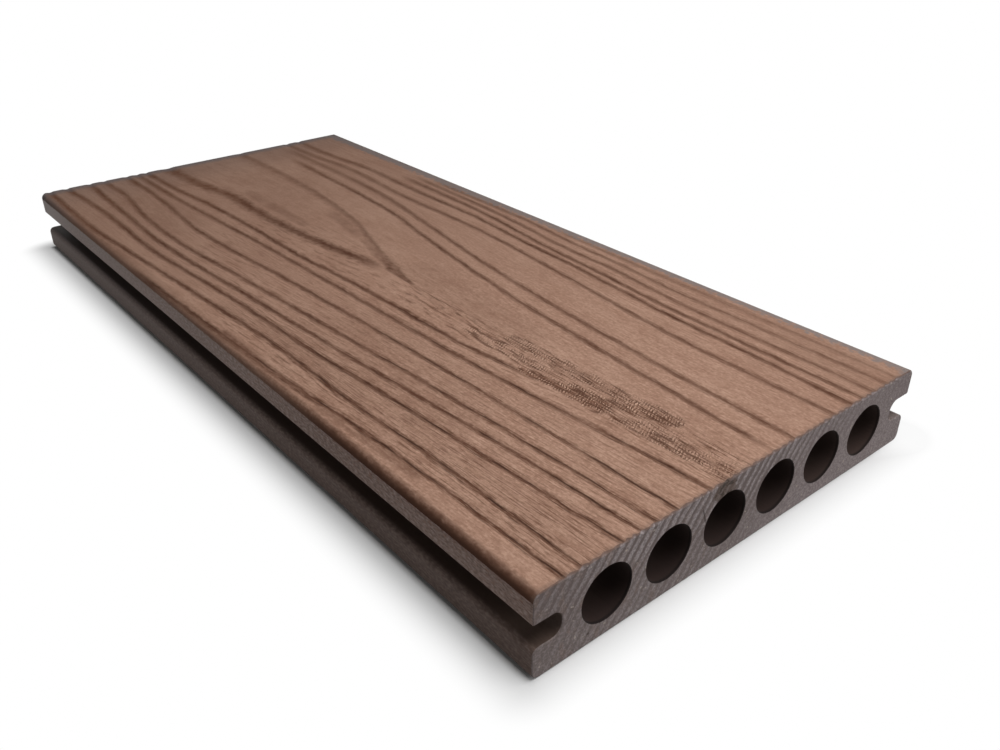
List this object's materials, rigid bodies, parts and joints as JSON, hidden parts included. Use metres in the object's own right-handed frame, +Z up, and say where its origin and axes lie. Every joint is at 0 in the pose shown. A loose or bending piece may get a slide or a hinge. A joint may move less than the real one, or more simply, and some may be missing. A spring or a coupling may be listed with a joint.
{
  "type": "decking board",
  "caption": "Short length of hollow composite decking board with an embossed wood-grain tread, round chambers through its core and a clip groove along each side.",
  "frame": {"origin": "middle of the underside, on the board's centre line, halfway between its sawn ends", "axes": "+X along the board towards the sawn end nearest in the picture, +Y across it, +Z up through its thickness to the embossed tread"},
  "size_m": [0.3, 0.138, 0.023],
  "materials": {
    "composite": "matte"
  },
  "bodies": {
    "root": {"decking_board": "composite"}
  },
  "joints": []
}
